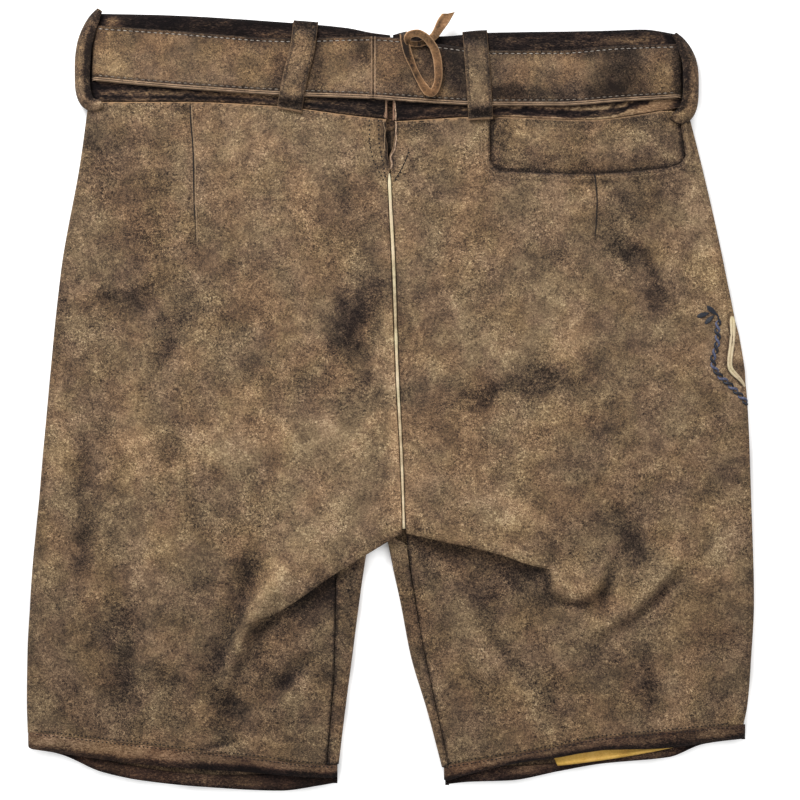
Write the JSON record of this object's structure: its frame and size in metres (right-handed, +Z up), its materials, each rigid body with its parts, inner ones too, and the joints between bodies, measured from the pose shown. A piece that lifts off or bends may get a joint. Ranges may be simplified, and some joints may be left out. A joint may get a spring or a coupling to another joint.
{
  "type": "lederhosen",
  "caption": "Short suede lederhosen laid face down: piped seat seam, rear pocket, laced waist slit, belt in loops and turned hems.",
  "frame": {"origin": "middle of the garment's outline, on the surface that it lies on", "axes": "+Z up from the surface, +Y towards the waist, +X to the wearer's right"},
  "size_m": [0.5455, 0.5859, 0.0198],
  "materials": {
    "suede": "brushed, patinated",
    "dark_suede": "brushed, darkened by wear",
    "belt_leather": "nubuck, waxed edges",
    "pale_piping": "undyed, raw edge",
    "pale_facing": "undyed split",
    "thong": "waxed thong",
    "old_brass": "satin, aged"
  },
  "bodies": {
    "root": {"back_left": "suede", "back_right": "suede", "back_pocket": "suede", "front_left": "suede", "front_right": "suede", "front_flap": "suede", "belt_left": "belt_leather", "belt_right": "belt_leather", "belt_buckle": "old_brass", "waistband_back_left": "dark_suede", "waistband_back_right": "dark_suede", "waistband_front_left": "dark_suede", "waistband_front_right": "dark_suede", "loop_back_left": "suede", "loop_back_right": "suede", "loop_side_left": "suede", "loop_side_right": "suede", "hem_back_left": "suede", "hem_back_right": "suede", "hem_front_left": "suede", "hem_front_right": "suede", "hem_facing_right": "pale_facing", "centre_piping": "pale_piping", "side_pocket": "suede", "side_pocket_piping": "pale_piping", "lace": "thong"}
  },
  "joints": []
}
